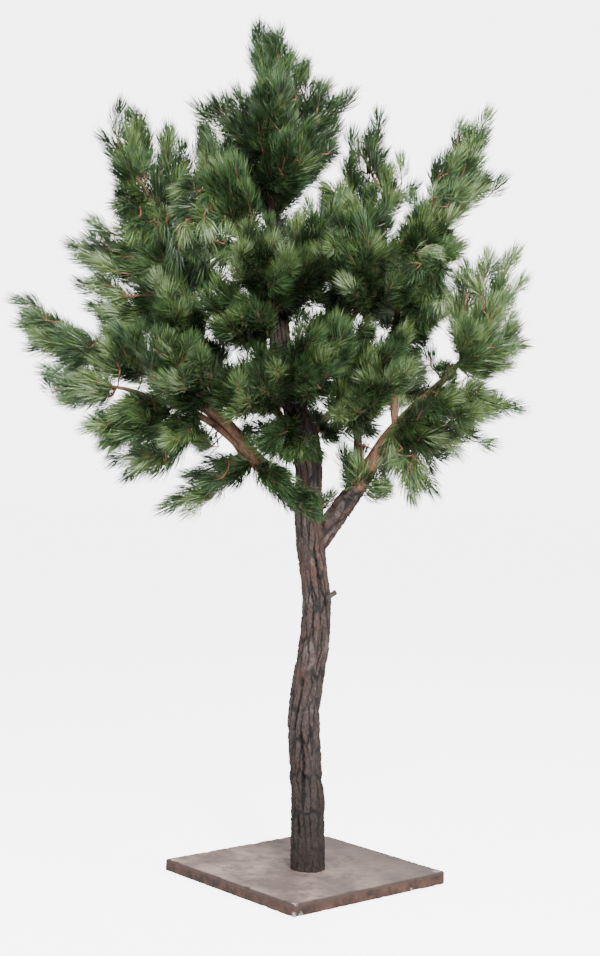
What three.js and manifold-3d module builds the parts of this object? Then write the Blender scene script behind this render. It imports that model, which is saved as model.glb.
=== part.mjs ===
// Artificial pine on a square slab: slab, forked trunk, boughs and foliage masses, in mm, +Z up.
import * as THREE from 'three';
import Module from 'manifold-3d';
import { mergeVertices } from 'three/addons/utils/BufferGeometryUtils.js';

const wasm = await Module();
wasm.setup();

// The tree is laid out looking square on (x to the right, y away, z up) and then turned on the slab.
const treeTurn = -40.75;

const slabSide = 700;
const slabThickness = 42;
const slabBevel = 3;
const slabCornerRadius = 6;
const slabWornCornerRadius = 26;

const gap = 0.3;
const trunkFoot = slabThickness + gap;

// Trunk stations: x, y, z, radius.
const trunkStations = [
  [9, -40, trunkFoot, 62], [4, -34, 173, 60], [1, -28, 307, 59], [-14, -21, 450, 57],
  [-19, -13, 623, 56], [-3, -8, 728, 55], [13, -3, 833, 56], [16, 0, 956, 53], [3, 0, 1043, 49],
  [-6, 0, 1113, 50], [-13, 0, 1202, 54], [-23, 0, 1271, 53], [-23, 0, 1351, 47],
  [-25, 0, 1421, 49], [-36, 0, 1532, 57], [-69, 0, 1618, 50], [-99, 5, 1687, 44],
  [-126, 15, 1774, 42], [-139, 20, 1862, 40], [-150, 20, 2018, 33], [-176, 18, 2226, 22],
  [-187, 15, 2365, 15], [-191, 8, 2551, 11], [-193, 0, 2705, 8],
];
const trunkSides = 12;
const trunkRings = 25;
const trunkUnevenness = 0.045;

// Boughs, each from inside the limb it leaves out to its tip: x, y, z, radius.
const boughs = {
  bough_right: [
    [0, 0, 1140, 30], [55, -8, 1245, 38], [95, -12, 1300, 38], [140, -20, 1365, 35],
    [190, -30, 1450, 30], [220, -40, 1515, 27], [285, -60, 1605, 18], [365, -80, 1685, 15],
    [450, -100, 1770, 11], [515, -120, 1855, 7],
  ],
  bough_right_up: [
    [165, -25, 1400, 20], [140, -5, 1535, 15], [145, 10, 1660, 14], [165, 30, 1870, 11],
    [160, 45, 2030, 9], [145, 40, 2260, 6],
  ],
  bough_right_tall: [
    [270, -55, 1590, 14], [250, -20, 1800, 13], [275, 0, 2030, 10], [350, 0, 2240, 8],
    [400, 0, 2390, 6],
  ],
  bough_left: [
    [-15, 0, 1210, 26], [-80, -8, 1335, 30], [-150, -20, 1415, 29], [-220, -40, 1455, 30],
    [-265, -60, 1515, 30], [-315, -80, 1585, 27], [-390, -90, 1640, 20], [-475, -90, 1675, 17],
    [-565, -100, 1720, 16], [-650, -100, 1810, 9], [-765, -75, 1825, 5],
  ],
  bough_left_up: [
    [-315, -80, 1590, 17], [-395, -60, 1710, 14], [-440, -30, 1850, 12], [-480, 0, 2010, 12],
    [-520, 20, 2115, 13], [-560, 30, 2220, 9], [-610, 40, 2360, 7], [-645, 40, 2435, 5],
  ],
  bough_left_low: [
    [-275, -75, 1520, 16], [-370, -110, 1585, 13], [-455, -130, 1630, 12], [-575, -140, 1660, 10],
    [-660, -130, 1690, 7], [-755, -120, 1700, 5],
  ],
  bough_mid_left: [
    [-140, 20, 2005, 15], [-230, -20, 2170, 14], [-290, -40, 2280, 12], [-340, -50, 2355, 8],
    [-390, -60, 2410, 5],
  ],
  bough_front: [
    [-90, -20, 1560, 15], [-175, -90, 1680, 12], [-190, -110, 1835, 11], [-200, -120, 2005, 9],
    [-205, -140, 2110, 6],
  ],
  bough_mid_right: [
    [-95, -10, 1650, 18], [0, -50, 1800, 15], [85, -60, 1915, 12], [140, -60, 2005, 7],
  ],
  bough_back_left: [
    [-105, 20, 1655, 18], [-215, 200, 1715, 14], [-375, 400, 1780, 8],
  ],
  bough_back_right: [
    [-40, 30, 1530, 19], [55, 220, 1640, 15], [165, 400, 1750, 8],
  ],
};
const boughSides = 7;
const boughUnevenness = 0.05;
const boughRingSpacing = 85;

// Foliage masses: the limb each grows from, where on it (0 foot, 1 end), and the tips it is drawn out
// to, with their half-widths: x, y, z, half-width.
const masses = {
  top_leader: {
    limb: 'trunk',
    at: 1,
    tips: [
      [-220, 0, 2985, 48], [-170, 0, 2975, 40], [-275, -20, 2880, 29], [-110, 30, 2900, 30],
    ],
  },
  top_front: {
    limb: 'trunk',
    at: 0.95,
    tips: [
      [-240, -110, 2740, 52], [-135, -120, 2790, 50], [-175, -170, 2640, 60],
      [-235, -60, 2665, 44],
    ],
  },
  top_back: {
    limb: 'trunk',
    at: 0.96,
    tips: [
      [-230, 190, 2800, 58], [-125, 200, 2790, 58], [-130, 80, 2850, 40],
    ],
  },
  upper_right: {
    limb: 'trunk',
    at: 0.92,
    tips: [
      [-70, 70, 2885, 44], [15, 90, 2810, 50], [95, 100, 2795, 34], [50, 150, 2690, 60],
      [5, 60, 2445, 56], [-45, 90, 2560, 60],
    ],
  },
  upper_front: {
    limb: 'trunk',
    at: 0.93,
    tips: [
      [-50, -240, 2550, 50], [-115, -250, 2585, 52], [-85, -170, 2410, 58],
    ],
  },
  upper_left: {
    limb: 'trunk',
    at: 0.95,
    tips: [
      [-470, -20, 2710, 42], [-370, 0, 2745, 38], [-320, 40, 2785, 40],
    ],
  },
  upper_left_low: {
    limb: 'bough_mid_left',
    at: 0.35,
    tips: [
      [-450, -60, 2610, 50], [-390, -140, 2455, 60], [-315, -230, 2490, 62], [-395, -40, 2600, 44],
      [-340, 20, 2575, 44],
    ],
  },
  upper_back: {
    limb: 'trunk',
    at: 0.9,
    tips: [
      [-355, 290, 2710, 64], [-320, 440, 2545, 68], [-50, 350, 2730, 66], [-90, 470, 2565, 68],
    ],
  },
  left_tall_top: {
    limb: 'bough_left_up',
    at: 0.96,
    tips: [
      [-700, 40, 2720, 46], [-625, 70, 2660, 26], [-800, 10, 2590, 30], [-625, 20, 2495, 40],
    ],
  },
  left_tall_inner: {
    limb: 'bough_left_up',
    at: 0.77,
    tips: [
      [-570, 50, 2635, 46], [-500, 60, 2585, 40], [-450, 80, 2510, 36],
    ],
  },
  left_tall_out: {
    limb: 'bough_left_up',
    at: 0.73,
    tips: [
      [-750, 0, 2495, 40], [-725, -60, 2370, 50], [-750, -20, 2285, 46], [-665, -140, 2195, 54],
      [-675, 20, 2425, 40],
    ],
  },
  left_tall_right: {
    limb: 'bough_left_up',
    at: 0.48,
    tips: [
      [-540, -50, 2425, 54], [-385, -120, 2410, 66], [-315, -100, 2270, 60],
      [-425, -200, 2160, 60],
    ],
  },
  left_mid_high: {
    limb: 'bough_left_up',
    at: 0.58,
    tips: [
      [-835, 30, 2295, 34], [-900, 20, 2215, 34], [-875, -20, 2150, 30], [-715, 0, 2230, 42],
      [-730, -60, 2105, 46],
    ],
  },
  left_mid_low: {
    limb: 'bough_left_up',
    at: 0.41,
    tips: [
      [-860, -40, 2075, 46], [-825, -30, 1985, 48], [-770, -60, 1910, 44], [-725, -40, 2095, 44],
      [-670, -40, 2000, 44],
    ],
  },
  left_inner: {
    limb: 'bough_left_up',
    at: 0.32,
    tips: [
      [-575, -230, 2065, 60], [-515, -300, 1945, 66], [-390, -200, 1990, 60],
    ],
  },
  left_back: {
    limb: 'bough_left_up',
    at: 0.48,
    tips: [
      [-640, 340, 2350, 72], [-500, 430, 2410, 76], [-700, 470, 2145, 72],
    ],
  },
  far_left_tip: {
    limb: 'bough_left',
    at: 1,
    tips: [
      [-1085, -40, 1990, 42], [-940, 0, 1970, 32], [-1060, -60, 1910, 42], [-1035, -60, 1835, 36],
    ],
  },
  left_shelf_high: {
    limb: 'bough_left',
    at: 0.84,
    tips: [
      [-910, -80, 1905, 34], [-905, -50, 1825, 28], [-705, -180, 1910, 60], [-600, -260, 1905, 66],
      [-805, -120, 1815, 30],
    ],
  },
  left_shelf_front: {
    limb: 'bough_left',
    at: 0.66,
    tips: [
      [-590, -380, 1805, 66], [-470, -460, 1850, 70], [-380, -520, 1770, 66],
    ],
  },
  left_low_tip: {
    limb: 'bough_left_low',
    at: 0.89,
    tips: [
      [-980, -60, 1755, 40], [-905, -120, 1685, 40], [-895, -90, 1640, 36], [-770, -160, 1750, 30],
      [-825, -130, 1620, 30],
    ],
  },
  left_low_shelf: {
    limb: 'bough_left_low',
    at: 0.5,
    tips: [
      [-800, -140, 1600, 40], [-790, -170, 1530, 44], [-745, -230, 1490, 42],
      [-660, -300, 1650, 44], [-565, -220, 1570, 50], [-705, -200, 1545, 44],
      [-730, -230, 1470, 36],
    ],
  },
  left_droop: {
    limb: 'bough_left_low',
    at: 0.32,
    tips: [
      [-700, -280, 1440, 40], [-655, -240, 1385, 34], [-575, -210, 1390, 36],
      [-515, -360, 1515, 50], [-595, -200, 1475, 44],
    ],
  },
  left_hang: {
    limb: 'bough_left',
    at: 0.35,
    tips: [
      [-550, -130, 1280, 36], [-470, -110, 1270, 32], [-485, -60, 1430, 26], [-450, -90, 1380, 30],
      [-325, -90, 1350, 30], [-385, -60, 1460, 28], [-290, -40, 1395, 30], [-410, -80, 1315, 28],
    ],
  },
  left_back_low: {
    limb: 'bough_back_left',
    at: 0.95,
    tips: [
      [-710, 440, 1765, 62], [-590, 560, 1890, 70], [-530, 600, 1650, 60],
    ],
  },
  centre_front_high: {
    limb: 'bough_front',
    at: 0.87,
    tips: [
      [-220, -380, 2230, 68], [-105, -420, 2170, 62], [-295, -380, 2115, 60],
      [-120, -460, 2035, 50],
    ],
  },
  centre_front_mid: {
    limb: 'bough_front',
    at: 0.62,
    tips: [
      [-385, -320, 2030, 62], [-320, -420, 1905, 60], [-225, -470, 1970, 58],
      [-260, -200, 2045, 44], [-350, -300, 1850, 44],
    ],
  },
  centre_front_low: {
    limb: 'bough_front',
    at: 0.24,
    tips: [
      [-370, -340, 1700, 64], [-255, -520, 1745, 74], [-125, -520, 1805, 60],
      [-300, -440, 1610, 56], [-355, -260, 1780, 46], [-210, -360, 1845, 48],
    ],
  },
  centre_right_low: {
    limb: 'bough_mid_right',
    at: 0.11,
    tips: [
      [-30, -300, 1875, 66], [75, -360, 1950, 66], [-35, -500, 1745, 66], [55, -460, 1820, 60],
      [-60, -160, 1965, 50], [70, -200, 2005, 58], [10, -300, 1690, 52],
    ],
  },
  centre_droop: {
    limb: 'bough_left',
    at: 0.24,
    tips: [
      [25, -330, 1285, 32], [-100, -190, 1355, 34],
    ],
  },
  centre_under: {
    limb: 'bough_front',
    at: 0.08,
    tips: [
      [-225, -260, 1560, 52], [15, -300, 1475, 32], [-110, -230, 1445, 34], [-185, -300, 1490, 40],
    ],
  },
  centre_back_high: {
    limb: 'trunk',
    at: 0.81,
    tips: [
      [-280, 490, 2305, 78], [-20, 560, 2285, 82], [-140, 610, 2405, 72],
    ],
  },
  centre_back_low: {
    limb: 'trunk',
    at: 0.74,
    tips: [
      [-310, 640, 1745, 84], [-70, 700, 1875, 88], [-210, 520, 1685, 70],
    ],
  },
  centre_right_high: {
    limb: 'trunk',
    at: 0.82,
    tips: [
      [-20, -160, 2285, 64], [-15, -280, 2120, 64], [50, -160, 2040, 46], [50, -90, 2300, 46],
      [55, -60, 2375, 62], [-70, -60, 2375, 54],
    ],
  },
  right_up: {
    limb: 'bough_right_up',
    at: 0.92,
    tips: [
      [100, 0, 2635, 44], [190, 20, 2705, 32], [255, 60, 2565, 34], [70, -40, 2440, 50],
      [335, 90, 2465, 46], [75, 10, 2515, 40], [85, -40, 2350, 56],
    ],
  },
  right_front: {
    limb: 'bough_right_up',
    at: 0.8,
    tips: [
      [70, -270, 2340, 84], [15, -380, 2165, 64], [190, -330, 2205, 70], [90, -330, 2025, 60],
    ],
  },
  right_tall_top: {
    limb: 'bough_right_tall',
    at: 0.96,
    tips: [
      [575, 0, 2715, 36], [570, 30, 2645, 32], [485, -10, 2665, 30], [420, 0, 2565, 38],
    ],
  },
  right_tall_side: {
    limb: 'bough_right_tall',
    at: 0.75,
    tips: [
      [640, 50, 2490, 32], [565, 20, 2540, 30], [510, -30, 2430, 46], [485, -20, 2360, 42],
      [315, -30, 2375, 46], [255, -60, 2340, 46], [425, 10, 2455, 40],
    ],
  },
  right_mid: {
    limb: 'bough_right_tall',
    at: 0.49,
    tips: [
      [400, -120, 2190, 78], [280, -90, 2310, 66], [530, -20, 2255, 20], [225, -340, 2105, 66],
      [380, -240, 1990, 70], [380, -160, 1915, 60], [440, -60, 1995, 56],
    ],
  },
  right_out_high: {
    limb: 'bough_right',
    at: 1,
    tips: [
      [430, -60, 2220, 38], [575, -40, 2220, 38], [680, -60, 2230, 36], [705, -100, 2125, 40],
      [430, -220, 1970, 46], [455, -160, 1890, 44],
    ],
  },
  right_out_mid: {
    limb: 'bough_right',
    at: 0.95,
    tips: [
      [670, -60, 2005, 40], [690, -140, 1940, 40], [710, -180, 1870, 40], [675, -150, 1800, 40],
      [490, -300, 1940, 50], [445, -150, 1800, 44],
    ],
  },
  right_out_low: {
    limb: 'bough_right',
    at: 0.8,
    tips: [
      [710, -160, 1665, 20], [590, -220, 1640, 40], [550, -260, 1725, 56], [395, -340, 1635, 50],
    ],
  },
  right_low_droop: {
    limb: 'bough_right',
    at: 0.68,
    tips: [
      [620, -120, 1535, 34], [495, -160, 1485, 24], [405, -200, 1550, 44], [350, -300, 1680, 50],
      [520, -120, 1555, 40], [440, -120, 1475, 28],
    ],
  },
  right_low_inner: {
    limb: 'bough_right',
    at: 0.45,
    tips: [
      [425, -60, 1345, 32], [340, -100, 1315, 26], [430, -40, 1450, 26], [315, -140, 1505, 40],
      [270, -80, 1590, 44], [240, -60, 1465, 30], [415, -50, 1410, 30], [180, -60, 1545, 34],
    ],
  },
  right_inner: {
    limb: 'bough_right_up',
    at: 0.4,
    tips: [
      [60, -260, 1760, 58], [210, -420, 1715, 70], [270, -420, 1845, 74], [75, -360, 1625, 50],
      [155, -140, 1895, 56], [100, -200, 1585, 56], [300, -160, 1940, 56], [5, -160, 1635, 40],
    ],
  },
  right_high_back: {
    limb: 'bough_right_up',
    at: 0.8,
    tips: [
      [115, 450, 2390, 82], [320, 520, 2310, 82], [420, 480, 2080, 78], [245, 420, 1995, 64],
    ],
  },
  right_low_back: {
    limb: 'bough_back_right',
    at: 0.99,
    tips: [
      [345, 500, 1965, 84], [495, 460, 1740, 66], [105, 600, 1910, 84], [170, 560, 1620, 60],
    ],
  },
  fork_sprays: {
    limb: 'bough_right_up',
    at: 0.01,
    tips: [
      [85, -40, 1475, 28], [75, -70, 1375, 24], [120, -110, 1535, 40],
    ],
  },
};
const massSides = 9;
// Angles of a mass's rings of corners, in degrees from its tip end to its root end.
const massRingAngles = [22, 48, 78, 112, 148];
const massUnevenness = 0.12;
const massCentreShare = 0.48;
const rootWidthShare = 1.0;

const greens = ['#2f4a33', '#3c5636', '#4a6140', '#5b6f49'];
const massMaterials = greens.map(
  (colour) => new THREE.MeshStandardMaterial({ color: colour, roughness: 0.65, metalness: 0 }),
);
const barkMaterial = new THREE.MeshStandardMaterial({ color: '#6b5a54', roughness: 0.9, metalness: 0 });
const boughMaterial = new THREE.MeshStandardMaterial({ color: '#7a5443', roughness: 0.85, metalness: 0 });
const slabMaterial = new THREE.MeshStandardMaterial({ color: '#7d6157', roughness: 0.85, metalness: 0 });

function randomFrom(seed) {
  let state = seed >>> 0;
  return () => {
    state = (state + 0x6d2b79f5) >>> 0;
    let t = Math.imul(state ^ (state >>> 15), 1 | state);
    t = (t + Math.imul(t ^ (t >>> 7), 61 | t)) ^ t;
    return ((t ^ (t >>> 14)) >>> 0) / 4294967296;
  };
}

// Closed skin over rings of equal count, with a flat cap at each end.
function skin(rings) {
  const sides = rings[0].length;
  const vertices = rings.flat().flatMap((p) => [p.x, p.y, p.z]);
  const triangles = [];
  for (let ring = 0; ring < rings.length - 1; ring += 1) {
    for (let side = 0; side < sides; side += 1) {
      const next = (side + 1) % sides;
      const a = ring * sides + side;
      const b = ring * sides + next;
      triangles.push(a, b, b + sides, a, b + sides, a + sides);
    }
  }
  const last = (rings.length - 1) * sides;
  for (let side = 1; side < sides - 1; side += 1) {
    triangles.push(0, side + 1, side);
    triangles.push(last, last + side, last + side + 1);
  }
  return new wasm.Manifold(new wasm.Mesh({
    numProp: 3,
    vertProperties: new Float32Array(vertices),
    triVerts: new Uint32Array(triangles),
  }));
}

// Radius factor round a limb or lobe: a few slow waves with seeded phases.
function unevenness(seed, amount) {
  const random = randomFrom(seed);
  const waves = [2, 3, 4].map((count) => [count, random() * 6.28, 2 + random() * 5, amount / count]);
  return (angle, along) => waves.reduce(
    (sum, [count, phase, twist, size]) => sum + 2 * size * Math.sin(count * angle + phase + twist * along),
    1,
  );
}

// Rings square to a straight or curved axis, kept from twisting by carrying one side direction along.
function ringsAlong(points, radii, sides, uneven, grow) {
  let side = new THREE.Vector3(0, 1, 0);
  return points.map((point, index) => {
    const before = points[Math.max(index - 1, 0)];
    const after = points[Math.min(index + 1, points.length - 1)];
    const along = after.clone().sub(before).normalize();
    side = side.clone().addScaledVector(along, -side.dot(along)).normalize();
    const across = new THREE.Vector3().crossVectors(along, side);
    const share = index / (points.length - 1);
    const ring = [];
    for (let step = 0; step < sides; step += 1) {
      const angle = (step / sides) * Math.PI * 2;
      const radius = radii[index] * uneven(angle, share) + grow;
      ring.push(point.clone()
        .addScaledVector(side, Math.cos(angle) * radius)
        .addScaledVector(across, Math.sin(angle) * radius));
    }
    return ring;
  });
}

function curveThrough(stations) {
  const points = stations.map(([x, y, z]) => new THREE.Vector3(x, y, z));
  return new THREE.CatmullRomCurve3(points, false, 'centripetal');
}

function smoothStations(stations, count) {
  const curve = curveThrough(stations);
  const points = [];
  const radii = [];
  for (let index = 0; index < count; index += 1) {
    const t = index / (count - 1);
    const place = t * (stations.length - 1);
    const low = Math.min(Math.floor(place), stations.length - 2);
    const share = place - low;
    points.push(curve.getPoint(t));
    radii.push(stations[low][3] * (1 - share) + stations[low + 1][3] * share);
  }
  return { points, radii };
}

// The trunk's rings lie level, so its foot is one flat cut.
function trunk(grow) {
  const { points, radii } = smoothStations(trunkStations, trunkRings);
  const uneven = unevenness(11, trunkUnevenness);
  const rings = points.map((point, index) => {
    const share = index / (trunkRings - 1);
    const ring = [];
    for (let step = 0; step < trunkSides; step += 1) {
      const angle = (step / trunkSides) * Math.PI * 2;
      const radius = radii[index] * uneven(angle, share * 6) + grow;
      ring.push(new THREE.Vector3(
        point.x + Math.cos(angle) * radius,
        point.y + Math.sin(angle) * radius,
        point.z,
      ));
    }
    return ring;
  });
  rings[trunkRings - 1].forEach((point) => point.setZ(point.z + grow));
  return skin(rings);
}

function bough(stations, seed, grow) {
  let length = 0;
  for (let index = 1; index < stations.length; index += 1) {
    const [x0, y0, z0] = stations[index - 1];
    const [x1, y1, z1] = stations[index];
    length += Math.hypot(x1 - x0, y1 - y0, z1 - z0);
  }
  const count = Math.max(6, Math.round(length / boughRingSpacing));
  const { points, radii } = smoothStations(stations, count);
  const last = points.length - 1;
  const onward = points[last].clone().sub(points[last - 1]).normalize();
  points[last].addScaledVector(onward, grow);
  return skin(ringsAlong(points, radii, boughSides, unevenness(seed, boughUnevenness), grow));
}

function pointOnLimb(limb, at) {
  const stations = limb === 'trunk' ? trunkStations : boughs[limb];
  return curveThrough(stations).getPoint(at);
}

// How far a rod of the given half-width, reaching from the centre to a tip, extends in a direction.
function rodReach(direction, rod) {
  const cosine = direction.dot(rod.direction);
  const sine = Math.sqrt(Math.max(1 - cosine * cosine, 0.0001));
  return cosine > 0 ? Math.min(rod.length, rod.width / sine) : rod.width;
}

function rodTo(centre, [x, y, z, width]) {
  const reach = new THREE.Vector3(x, y, z).sub(centre);
  return { direction: reach.clone().normalize(), length: reach.length(), width };
}

// One mass: an uneven body about a centre, drawn out to every tip and to its root on the limb.
// Its corners lie on rings about the axis from root to tips, and the nearest corner is moved to each tip.
function mass({ limb, at, tips }, seed, grow) {
  const root = pointOnLimb(limb, at);
  const random = randomFrom(seed);
  const middle = tips
    .reduce((sum, [x, y, z]) => sum.add(new THREE.Vector3(x, y, z)), new THREE.Vector3())
    .divideScalar(tips.length);
  const centre = root.clone().lerp(middle, massCentreShare);
  const meanWidth = tips.reduce((sum, tip) => sum + tip[3], 0) / tips.length;
  const rods = [...tips, [...root.toArray(), meanWidth * rootWidthShare]].map((tip) => rodTo(centre, tip));
  const axis = middle.clone().sub(root).normalize();
  const turn = new THREE.Quaternion().setFromUnitVectors(new THREE.Vector3(0, 0, 1), axis);

  const corners = [{ direction: axis.clone() }];
  massRingAngles.forEach((degrees, ring) => {
    const polar = THREE.MathUtils.degToRad(degrees);
    for (let side = 0; side < massSides; side += 1) {
      const angle = ((side + 0.5 * (ring % 2)) / massSides) * Math.PI * 2;
      corners.push({
        direction: new THREE.Vector3().setFromSphericalCoords(1, polar, angle)
          .applyEuler(new THREE.Euler(Math.PI / 2, 0, 0))
          .applyQuaternion(turn),
      });
    }
  });
  corners.push({ direction: axis.clone().negate() });

  corners.forEach((corner) => {
    const reach = Math.max(...rods.map((rod) => rodReach(corner.direction, rod)));
    corner.reach = reach * (1 + massUnevenness * (2 * random() - 1));
  });
  rods.forEach((rod) => {
    const free = corners.filter((corner) => !corner.held);
    const nearest = free.reduce((best, corner) => (
      corner.direction.dot(rod.direction) > best.direction.dot(rod.direction) ? corner : best
    ));
    nearest.direction = rod.direction;
    nearest.reach = rod.length;
    nearest.held = true;
  });

  const vertices = corners.flatMap(({ direction, reach }) => direction
    .clone()
    .multiplyScalar(reach + grow)
    .add(centre)
    .toArray());
  return new wasm.Manifold(new wasm.Mesh({
    numProp: 3,
    vertProperties: new Float32Array(vertices),
    triVerts: new Uint32Array(massTriangles()),
  }));
}

// Triangles over a mass's corners: a pole, its rings, the other pole.
function massTriangles() {
  const triangles = [];
  const last = 1 + massRingAngles.length * massSides;
  for (let side = 0; side < massSides; side += 1) {
    const next = (side + 1) % massSides;
    triangles.push(0, 1 + side, 1 + next);
    triangles.push(last, last - massSides + next, last - massSides + side);
    for (let ring = 0; ring < massRingAngles.length - 1; ring += 1) {
      const a = 1 + ring * massSides + side;
      const b = 1 + ring * massSides + next;
      triangles.push(a, b + massSides, b, a, a + massSides, b + massSides);
    }
  }
  return triangles;
}

function largestBody(solid) {
  const bodies = solid.decompose();
  bodies.sort((a, b) => b.volume() - a.volume());
  return bodies[0];
}

function toGeometry(solid) {
  const { vertProperties, triVerts } = solid.getMesh();
  const geometry = new THREE.BufferGeometry();
  geometry.setAttribute('position', new THREE.BufferAttribute(new Float32Array(vertProperties), 3));
  geometry.setIndex(new THREE.BufferAttribute(new Uint32Array(triVerts), 1));
  const flat = geometry.toNonIndexed();
  flat.computeVertexNormals();
  return flat;
}

function toManifold(geometry) {
  const bare = geometry.clone();
  bare.deleteAttribute('normal');
  bare.deleteAttribute('uv');
  const merged = mergeVertices(bare, 0.0001);
  return new wasm.Manifold(new wasm.Mesh({
    numProp: 3,
    vertProperties: new Float32Array(merged.attributes.position.array),
    triVerts: new Uint32Array(merged.index.array),
  }));
}

// Square slab, three corners nearly sharp and one worn round, its edges slightly eased.
function slab() {
  const half = slabSide / 2 - slabBevel;
  const sharp = slabCornerRadius;
  const worn = slabWornCornerRadius;
  const outline = new THREE.Shape();
  outline.moveTo(-half + sharp, -half);
  outline.lineTo(half - worn, -half);
  outline.quadraticCurveTo(half, -half, half, -half + worn);
  outline.lineTo(half, half - sharp);
  outline.quadraticCurveTo(half, half, half - sharp, half);
  outline.lineTo(-half + sharp, half);
  outline.quadraticCurveTo(-half, half, -half, half - sharp);
  outline.lineTo(-half, -half + sharp);
  outline.quadraticCurveTo(-half, -half, -half + sharp, -half);
  const geometry = new THREE.ExtrudeGeometry(outline, {
    depth: slabThickness - 2 * slabBevel,
    bevelEnabled: true,
    bevelSize: slabBevel,
    bevelThickness: slabBevel,
    bevelSegments: 1,
    curveSegments: 2,
  });
  geometry.translate(0, 0, slabBevel);
  return toManifold(geometry);
}

const group = new THREE.Group();
const tree = new THREE.Group();
tree.rotation.z = THREE.MathUtils.degToRad(treeTurn);

function place(parent, name, solid, material) {
  const mesh = new THREE.Mesh(toGeometry(solid), material);
  mesh.name = name;
  parent.add(mesh);
}

place(group, 'slab', slab(), slabMaterial);

place(tree, 'trunk', trunk(0), barkMaterial);
let taken = trunk(gap);

Object.entries(boughs).forEach(([name, stations], index) => {
  const solid = largestBody(bough(stations, 100 + index, 0).subtract(taken));
  place(tree, name, solid, boughMaterial);
  taken = taken.add(bough(stations, 100 + index, gap));
});

Object.entries(masses).forEach(([name, shape], index) => {
  const solid = largestBody(mass(shape, index + 1, 0).subtract(taken));
  place(tree, `foliage_${name}`, solid, massMaterials[index % massMaterials.length]);
  taken = taken.add(mass(shape, index + 1, gap));
});

group.add(tree);

export default group;
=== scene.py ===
import math

import bmesh
import bpy
import numpy as np
from mathutils import Matrix, Vector, noise
from mathutils.bvhtree import BVHTree


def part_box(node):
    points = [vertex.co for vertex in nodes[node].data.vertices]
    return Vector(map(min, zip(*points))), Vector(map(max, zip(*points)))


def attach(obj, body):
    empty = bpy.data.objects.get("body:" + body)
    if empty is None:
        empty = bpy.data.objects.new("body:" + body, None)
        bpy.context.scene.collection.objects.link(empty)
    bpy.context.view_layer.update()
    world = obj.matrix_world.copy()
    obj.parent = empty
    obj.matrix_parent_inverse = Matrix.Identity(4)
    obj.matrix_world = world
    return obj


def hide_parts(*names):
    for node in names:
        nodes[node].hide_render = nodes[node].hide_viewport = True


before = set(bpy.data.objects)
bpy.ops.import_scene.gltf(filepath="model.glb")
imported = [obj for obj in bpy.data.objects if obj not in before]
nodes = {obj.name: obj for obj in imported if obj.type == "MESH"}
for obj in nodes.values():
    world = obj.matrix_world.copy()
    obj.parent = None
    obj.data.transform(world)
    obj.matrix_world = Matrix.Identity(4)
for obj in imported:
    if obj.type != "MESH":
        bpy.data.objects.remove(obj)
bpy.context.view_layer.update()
noise.seed_set(7)  # otherwise vector noise would differ from run to run

# camera: at standing height, looking nearly level

cameraLook = {
    "place": (-3.6235, -4.1201, 1.480),
    "heading": -40.75,  # degrees about Z, 0 looks along +Y
    "pitch": -0.85,
    "roll": 1.58,
    "lens": 59.1,
    "sensor": 36.0,
}


def makeCamera(look):
    data = bpy.data.cameras.new("camera")
    data.lens = look["lens"]
    data.sensor_width = look["sensor"]
    camera = bpy.data.objects.new("camera", data)
    camera.location = look["place"]
    turn = Matrix.Rotation(math.radians(look["heading"]), 3, "Z")
    turn = turn @ Matrix.Rotation(math.radians(90 + look["pitch"]), 3, "X")
    turn = turn @ Matrix.Rotation(math.radians(look["roll"]), 3, "Z")
    camera.rotation_euler = turn.to_euler()
    bpy.context.scene.collection.objects.link(camera)
    bpy.context.scene.camera = camera


makeCamera(cameraLook)
print("camera placed")

# the tree was laid out square to the camera's heading: right and away are its own directions
treeTurn = math.radians(cameraLook["heading"])
treeRight = Vector((math.cos(treeTurn), math.sin(treeTurn), 0))
treeAway = Vector((-math.sin(treeTurn), math.cos(treeTurn), 0))


def clamp(value, low=0.0, high=1.0):
    return max(low, min(high, value))


def ease(edge0, edge1, value):
    t = clamp((value - edge0) / (edge1 - edge0))
    return t * t * (3 - 2 * t)


def nodeTriangles(name):
    # corners (n, 3, 3) of a node's triangles
    mesh = nodes[name].data
    points = np.zeros(len(mesh.vertices) * 3)
    mesh.vertices.foreach_get("co", points)
    mesh.calc_loop_triangles()
    corners = np.zeros(len(mesh.loop_triangles) * 3, dtype=np.int32)
    mesh.loop_triangles.foreach_get("vertices", corners)
    return points.reshape(-1, 3)[corners.reshape(-1, 3)]


def addPiece(name, mesh, slot, *replaced):
    piece = bpy.data.objects.new(name, mesh)
    bpy.context.scene.collection.objects.link(piece)
    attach(piece, "root")
    if replaced:
        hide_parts(*replaced)
    return piece


def meshFrom(bm, name):
    mesh = bpy.data.meshes.new(name)
    bm.to_mesh(mesh)
    bm.free()
    mesh.polygons.foreach_set("use_smooth", [True] * len(mesh.polygons))
    return mesh


# limb lines: the middle and girth of the trunk and every bough, measured off the frame

limbLook = {
    "trunkSlices": 90,
    "boughSlices": 26,
    "rootInset": (1.3, 0.7),  # how far a bough's line is led back into the limb it leaves, in radii
    "rootGirth": (0.45, 0.80),  # and its girth there, against the girth where it leaves
    "rootReach": 0.09,  # only a bough that starts this close to another limb is led into it
}


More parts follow.
